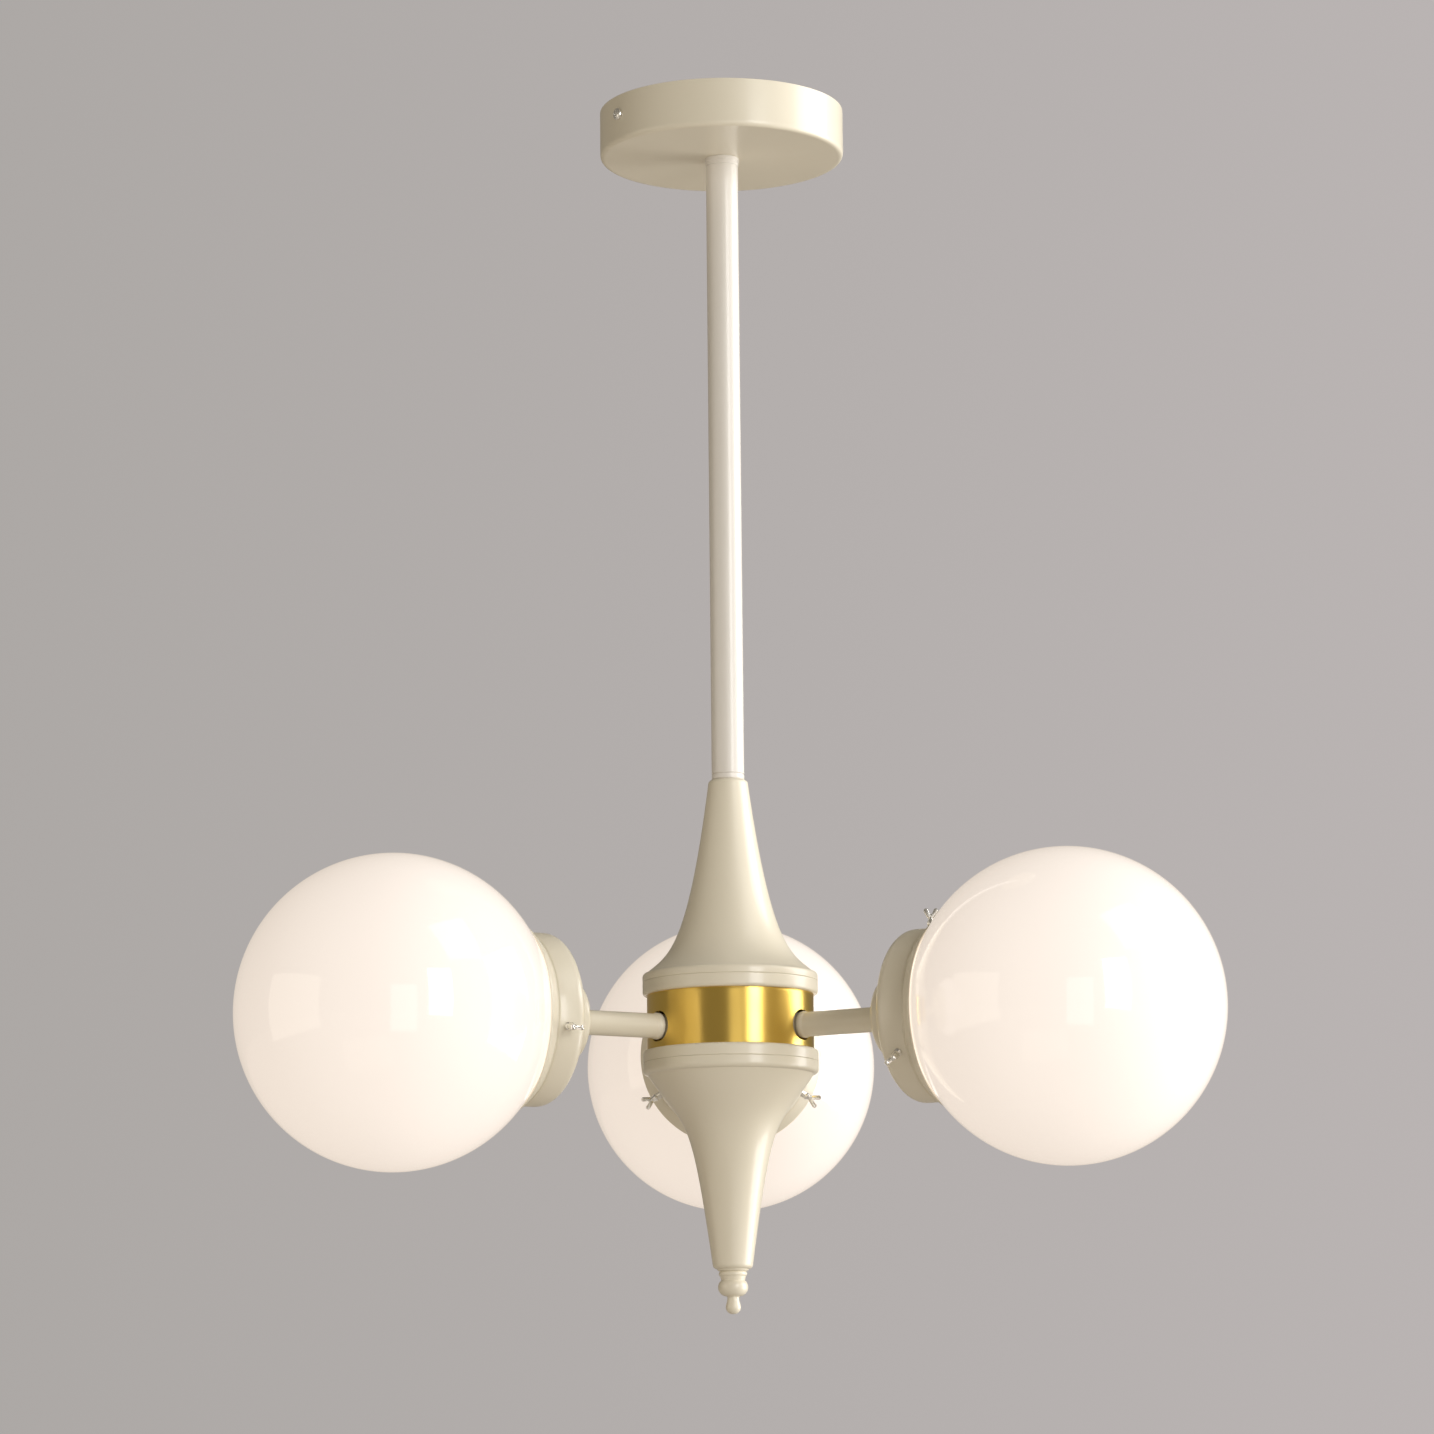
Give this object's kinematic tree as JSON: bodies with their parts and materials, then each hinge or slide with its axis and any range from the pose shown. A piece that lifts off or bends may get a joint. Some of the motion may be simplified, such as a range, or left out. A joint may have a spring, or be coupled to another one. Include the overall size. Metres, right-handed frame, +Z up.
{
  "type": "multi arm chandelier",
  "caption": "Ceiling light on a straight stem: a turned cream column with a brass band carries arms that each hold a round opal glass globe in a screwed cup.",
  "frame": {"origin": "centre of the ceiling face, where the stem's centre line meets the ceiling", "axes": "+Z up out of the ceiling face, -Y towards the side with two globes in front and one behind, +X to the right seen from -Y"},
  "size_m": [0.467, 0.4245, 0.6014],
  "materials": {
    "cream_paint": "glossy cream enamel on pressed and turned steel",
    "satin_brass": "satin lacquered brass, brushed around",
    "opal_glass": "glossy blown opal glass, milky white",
    "nickel": "bright nickel plate",
    "zinc": "zinc-plated steel",
    "dark_casting": "dark-coated zinc casting",
    "white_plastic": "moulded heat-resistant plastic",
    "lamp_plastic": "frosted diffuser with a plated screw cap",
    "connector_plastic": "moulded connector",
    "lead_sheath": "white flexible sheath",
    "earth_sheath": "green and yellow sheath"
  },
  "bodies": {
    "fixed_frame": {"ceiling_bracket": "zinc", "earth_screw": "nickel", "canopy": "cream_paint", "canopy_screws": "nickel", "canopy_washer": "zinc", "canopy_nut": "zinc", "terminal_block": "white_plastic", "top_nipple": "zinc", "stem_top_bush": "cream_paint", "stem_tube": "cream_paint", "stem_foot_bush": "cream_paint", "centre_pipe": "zinc", "upper_bell": "cream_paint", "upper_plate": "cream_paint", "brass_band": "satin_brass", "hub": "dark_casting", "lower_plate": "cream_paint", "lower_bell": "cream_paint", "finial": "cream_paint", "pipe_nuts": "zinc", "supply_lead": "lead_sheath", "earth_lead": "earth_sheath", "hub_nuts": "zinc", "holder_nuts": "zinc", "wire_connectors": "connector_plastic", "arm_tube_1": "cream_paint", "arm_tube_2": "cream_paint", "arm_tube_3": "cream_paint", "arm_rod_1": "zinc", "arm_rod_2": "zinc", "arm_rod_3": "zinc", "arm_lead_1": "lead_sheath", "arm_lead_2": "lead_sheath", "arm_lead_3": "lead_sheath", "globe_holder_1": "cream_paint", "globe_holder_2": "cream_paint", "globe_holder_3": "cream_paint", "lamp_holder_1": "white_plastic", "lamp_holder_2": "white_plastic", "lamp_holder_3": "white_plastic"},
    "globe_1": {"globe_1": "opal_glass"},
    "lamp_1": {"lamp_1": "lamp_plastic"},
    "thumb_screw_1_1": {"thumb_screw_1_1": "nickel"},
    "thumb_screw_1_2": {"thumb_screw_1_2": "nickel"},
    "thumb_screw_1_3": {"thumb_screw_1_3": "nickel"},
    "globe_2": {"globe_2": "opal_glass"},
    "lamp_2": {"lamp_2": "lamp_plastic"},
    "thumb_screw_2_1": {"thumb_screw_2_1": "nickel"},
    "thumb_screw_2_2": {"thumb_screw_2_2": "nickel"},
    "thumb_screw_2_3": {"thumb_screw_2_3": "nickel"},
    "globe_3": {"globe_3": "opal_glass"},
    "lamp_3": {"lamp_3": "lamp_plastic"},
    "thumb_screw_3_1": {"thumb_screw_3_1": "nickel"},
    "thumb_screw_3_2": {"thumb_screw_3_2": "nickel"},
    "thumb_screw_3_3": {"thumb_screw_3_3": "nickel"}
  },
  "joints": [
    {"name": "globe_1_off", "type": "slide", "parent": "fixed_frame", "child": "globe_1", "axis": [-0.866, -0.5, 0], "range_m": [0, 0.12]},
    {"name": "lamp_1_out", "type": "slide", "parent": "fixed_frame", "child": "lamp_1", "axis": [-0.866, -0.5, 0], "range_m": [0, 0.025]},
    {"name": "thumb_screw_1_1_out", "type": "slide", "parent": "fixed_frame", "child": "thumb_screw_1_1", "axis": [-0.171, 0.2962, 0.9397], "range_m": [0, 0.004]},
    {"name": "thumb_screw_1_2_out", "type": "slide", "parent": "fixed_frame", "child": "thumb_screw_1_2", "axis": [-0.3214, 0.5567, -0.766], "range_m": [0, 0.004]},
    {"name": "thumb_screw_1_3_out", "type": "slide", "parent": "fixed_frame", "child": "thumb_screw_1_3", "axis": [0.4924, -0.8529, -0.1736], "range_m": [0, 0.004]},
    {"name": "globe_2_off", "type": "slide", "parent": "fixed_frame", "child": "globe_2", "axis": [0.866, -0.5, 0], "range_m": [0, 0.12]},
    {"name": "lamp_2_out", "type": "slide", "parent": "fixed_frame", "child": "lamp_2", "axis": [0.866, -0.5, 0], "range_m": [0, 0.025]},
    {"name": "thumb_screw_2_1_out", "type": "slide", "parent": "fixed_frame", "child": "thumb_screw_2_1", "axis": [0, 0, 1], "range_m": [0, 0.004]},
    {"name": "thumb_screw_2_2_out", "type": "slide", "parent": "fixed_frame", "child": "thumb_screw_2_2", "axis": [-0.433, -0.75, -0.5], "range_m": [0, 0.004]},
    {"name": "thumb_screw_2_3_out", "type": "slide", "parent": "fixed_frame", "child": "thumb_screw_2_3", "axis": [0.433, 0.75, -0.5], "range_m": [0, 0.004]},
    {"name": "globe_3_off", "type": "slide", "parent": "fixed_frame", "child": "globe_3", "axis": [0, 1, 0], "range_m": [0, 0.12]},
    {"name": "lamp_3_out", "type": "slide", "parent": "fixed_frame", "child": "lamp_3", "axis": [0, 1, 0], "range_m": [0, 0.025]},
    {"name": "thumb_screw_3_1_out", "type": "slide", "parent": "fixed_frame", "child": "thumb_screw_3_1", "axis": [0, 0, 1], "range_m": [0, 0.004]},
    {"name": "thumb_screw_3_2_out", "type": "slide", "parent": "fixed_frame", "child": "thumb_screw_3_2", "axis": [0.866, 0, -0.5], "range_m": [0, 0.004]},
    {"name": "thumb_screw_3_3_out", "type": "slide", "parent": "fixed_frame", "child": "thumb_screw_3_3", "axis": [-0.866, 0, -0.5], "range_m": [0, 0.004]}
  ]
}
